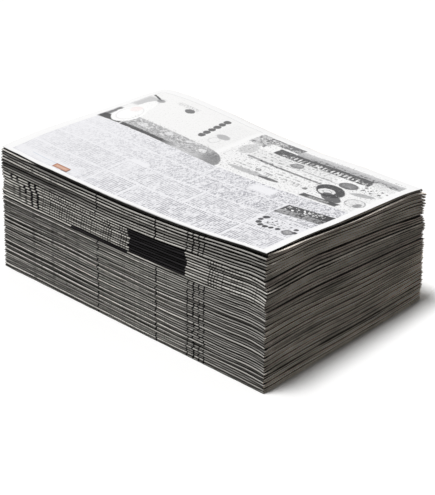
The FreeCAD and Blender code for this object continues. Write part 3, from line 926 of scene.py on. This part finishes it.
    over(oval(u, v, 187.5, 30.5, 4.6, 6.0, 0.4), (0.15, 0.15, 0.155), 0.7)
    over(ring(u, v, 40.5, 35.2, 3.0, 2.8, 0.45), (0.08, 0.08, 0.082), 0.9)
    over(oval(u, v, 113.8, 29.8, 3.2, 3.2, 0.4), (0.16, 0.16, 0.165), 0.85)
    dots = both(band(fract(u / 3.6), 0.2, 0.75, 0.2), rect(u, v, 50, 108, 30.8, 34.2, 0.8))
    over(both(dots, madd(chance(floor_(u / 3.6), 1.0, 7.0), 2.6, -0.6, clamp=True)), (0.14, 0.14, 0.145), 0.75)
    lu, lv = turned(u, v, 42, 23.5, 1)
    over(oval(lu, lv, -6, 0, 30, 4.6, 0.3), (0.36, 0.36, 0.37), 0.72)
    over(oval(lu, lv, 24, -1.2, 15, 3.0, 0.35), (0.07, 0.07, 0.073), 0.85)
    over(rect(u, v, 120, 193, 9.6, 10.4, 0.4), (0.4, 0.4, 0.41), 0.6)

    # ---- panel in the text, and a string of small marks under it
    plate = rect(u, madd(u, -0.085, v), 132.5, 193.5, -56.8, -30.2, 1.0)
    over(plate, (0.055, 0.055, 0.058), 0.95)
    vv = madd(u, -0.085, v)
    over(both(plate, invert(beyond(vv, -45.0, 1.5))), (0.40, 0.40, 0.41), 0.9)
    over(both(both(plate, coarse), rect(u, vv, 136, 186, -44, -32, 1.5)), (0.95, 0.95, 0.96), 0.92)
    over(both(both(plate, coarse2), invert(beyond(vv, -44.0, 1.5))), (0.05, 0.05, 0.052), 0.88)
    over(both(both(plate, grain), beyond(u, 176, 6.0)), (0.03, 0.03, 0.032), 0.9)
    over(both(both(plate, grain), invert(beyond(vv, -50, 2.0))), (0.10, 0.10, 0.105), 0.6)
    wavy = v - Sock.math("SINE", u * 0.16) * 1.3
    over(rect(u, madd(u, -0.07, wavy), 131, 193, -66.2, -64.6, 0.6), (0.42, 0.42, 0.43), 0.75)
    for x, y, r in ((138.5, -63, 3.2), (137.6, -71, 2.6), (140.5, -78, 3.0), (147, -82.6, 2.7), (154.5, -83.4, 2.7),
                    (162, -82.6, 2.4), (170, -81, 2.6), (186.5, -70, 2.4), (190, -77.5, 2.6)):
        over(oval(u, v, x, y, r * 1.25, r * 1.2, 0.4), (0.04, 0.04, 0.042), 0.95)
    over(both(rect(u, v, 147, 180, -76, -61, 2.0), coarse), (0.04, 0.04, 0.042), 0.95)
    over(oval(u, v, 184, -81.5, 7.4, 6.4, 0.25), (0.13, 0.13, 0.135), 0.88)
    over(both(oval(u, v, 184, -81.0, 4.4, 3.6, 0.3), fine), (0.75, 0.75, 0.75), 0.6)

    # halftone dots and small type over both panels
    busy = either(rect(u, v, -22, 193, 10, 117, 2.0), rect(u, v, -160, -30, 11, 44, 6.0) * 0.8)
    busy = either(busy, rect(u, v, -190, -30, 44, 119, 4.0) * 0.22)
    dots_dark = madd(noise(flat_u, flat_v, 0.36, 3.0, 0.75, 61.0), 10.0, -5.6, clamp=True)
    dots_pale = madd(noise(flat_u, flat_v, 0.36, 3.0, 0.75, 77.0), 10.0, -5.7, clamp=True)
    over(both(busy, dots_pale), (0.80, 0.80, 0.81), 0.30)
    over(both(busy, dots_dark), (0.10, 0.10, 0.105), 0.74)
    rows = both(band(fract(flat_v / 6.4), 0.25, 0.62, 0.15), madd(noise(flat_u, floor_(flat_v / 6.4) * 3.1, 0.24, 2.0, 0.7, 5.0), 9.0, -4.4, clamp=True))
    over(both(rows, rect(flat_u, flat_v, 6, 124, 24, 84, 3.0)), (0.16, 0.16, 0.165), 0.62)
    u, v = flat_u, flat_v

    # ---- small outlined box at the folded side, with a thin rule
    over(rect(u, v, -126.5, -103.5, -128.5, -120.2, 0.6), (0.34, 0.125, 0.06), 0.94)
    over(rect(u, v, -125.0, -105.0, -127.1, -121.6, 0.6), (0.60, 0.34, 0.235), 0.95)
    over(rect(u, v, -112.0, -102.4, -129.4, -127.9, 0.5), (0.10, 0.09, 0.09), 0.8)
    over(rect(u, v, -104.0, -102.4, -129.0, -122.0, 0.5), (0.10, 0.09, 0.09), 0.75)
    over(both(rect(u, v, -123, -107, -125.5, -123.2, 0.5), fine), (0.80, 0.70, 0.64), 0.5)
    over(rect(u, v, -167, -127, -120.9, -120.2, 0.4), (0.36, 0.47, 0.60), 0.6)
    over(rect(u, v, -103, -60, -121.2, -120.5, 0.4), (0.50, 0.58, 0.68), 0.35)

    # ---- the type itself goes down last
    ink = mix((0.25, 0.25, 0.30), (0.30, 0.30, 0.31), 0.5)
    mottle = madd(noise(u, v * 0.8, 0.40, 2.0, 0.8, 14.0), 9.0, -4.3, clamp=True)
    patch = madd(noise(u, v, 0.06, 2.0, 0.6, 17.0), 3.0, -1.05, clamp=True)
    plain = invert(either(plate, rect(u, v, 131, 194, -88, -60, 1.0) * 0.7))
    fill = both(both(both(margin, madd(gut, 0.68, 0.32)), invert(blank)), plain)
    text = both(text, plain)
    streaky = both(invert(beyond(v, -57, 3.0)), beyond(u, -90, 60.0))
    fill = both(fill, madd(streaky, -0.5, 1.0))
    # painted highlight: the grey fill and the type are painted fainter towards the back left, where the lamp blows out
    # the top page
    print_highlight_fade = madd(u, 0.0030, 0.74, clamp=True)
    front = madd(v, -0.0040, 0.80, clamp=True)
    colour = mix(colour, (0.30, 0.30, 0.335), both(both(fill, print_highlight_fade), both(mottle, madd(patch, 0.60, 0.60))) * 0.98)
    colour = mix(colour, ink, both(text, both(madd(u, 0.0030, 0.80, clamp=True), front)) * 1.10)
    Sock.tree.links.new(colour, shader.inputs["Base Color"])
    bump(shader, noise(u, v, 1.4, 4.0, 0.6, 3.0) + noise(u, v, 0.05, 2.0, 0.5, 1.0) * 3.0, 0.00015, 0.35)
    return mat


material = {
    "a": newsprint("newsprint_a", "a"),
    "b": newsprint("newsprint_b", "b"),
    "front": front_page(),
    "inside": inside_page(),
    "edge": leaf_edges(),
    "fold": centre_fold(),
}

for k in range(1, COPIES + 1):
    piece = make_copy(k)
    outside = "front" if k == COPIES else ("b" if 34 <= k <= 43 else "a")
    for key in (outside, "inside", "edge", "fold"):
        piece.data.materials.append(material[key])
    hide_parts("newspaper_%02d" % k)
    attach(piece, "root")

# ---------------------------------------------------------------- floor, light and camera

ground = bpy.data.meshes.new("floor")
ground.from_pydata([(-6, -6, 0), (6, -6, 0), (6, 6, 0), (-6, 6, 0)], [], [(0, 1, 2, 3)])
ground_object = bpy.data.objects.new("floor", ground)
bpy.context.scene.collection.objects.link(ground_object)
pale = bpy.data.materials.new("pale_floor")
pale.use_nodes = True
shader = next(n for n in pale.node_tree.nodes if n.type == "BSDF_PRINCIPLED")
shader.inputs["Base Color"].default_value = (0.96, 0.96, 0.96, 1)
shader.inputs["Roughness"].default_value = 0.9
shader.inputs["Specular IOR Level"].default_value = 0.1
ground.materials.append(pale)
ground_object.visible_diffuse = False


# One broad lamp almost overhead, leaning to the folded side and to the centre folds.
key = bpy.data.lights.new("key", "SUN")
key.energy = 3.05
key.angle = math.radians(14)
key_object = bpy.data.objects.new("key", key)
bpy.context.scene.collection.objects.link(key_object)
key_object.rotation_euler = Vector((0.105, 0.19, -1.0)).to_track_quat("-Z", "Y").to_euler()

# A weak one low behind, for the open side and the centre folds.
back_light = bpy.data.lights.new("back", "SUN")
back_light.energy = 0.62
back_light.angle = math.radians(40)
back_object = bpy.data.objects.new("back", back_light)
bpy.context.scene.collection.objects.link(back_object)
back_object.rotation_euler = Vector((0.45, -1.0, -0.26)).to_track_quat("-Z", "Y").to_euler()

world = bpy.data.worlds.new("studio")
bpy.context.scene.world = world
world.use_nodes = True
Sock.tree = world.node_tree
where = world.node_tree.nodes.new("ShaderNodeTexCoord")
apart = world.node_tree.nodes.new("ShaderNodeSeparateXYZ")
world.node_tree.links.new(where.outputs["Generated"], apart.inputs[0])
sky = madd(Sock(apart.outputs[2]), 2.5, 0.5, clamp=True)
world.node_tree.links.new(mix((0.035, 0.035, 0.035), (0.140, 0.137, 0.130), sky), world.node_tree.nodes["Background"].inputs[0])
world.node_tree.nodes["Background"].inputs[1].default_value = 1.0

YAW, PITCH, ROLL = (math.radians(a) for a in (132.22, 28.82, 0.58))
forward = Vector((math.cos(YAW) * math.cos(PITCH), math.sin(YAW) * math.cos(PITCH), -math.sin(PITCH)))
right = Vector((math.sin(YAW), -math.cos(YAW), 0))
up = right.cross(forward)
right, up = math.cos(ROLL) * right + math.sin(ROLL) * up, -math.sin(ROLL) * right + math.cos(ROLL) * up
camera = bpy.data.cameras.new("camera")
camera.lens = 2000 * 36 / 495
camera.sensor_width = 36
camera.clip_end = 30
camera_object = bpy.data.objects.new("camera", camera)
bpy.context.scene.collection.objects.link(camera_object)
turn = Matrix((right, up, -forward)).transposed().to_4x4()
camera_object.matrix_world = Matrix.Translation(Vector((1.3727, -1.5, 1.1666))) @ turn
bpy.context.scene.camera = camera_object
bpy.context.scene.view_settings.view_transform = "Standard"
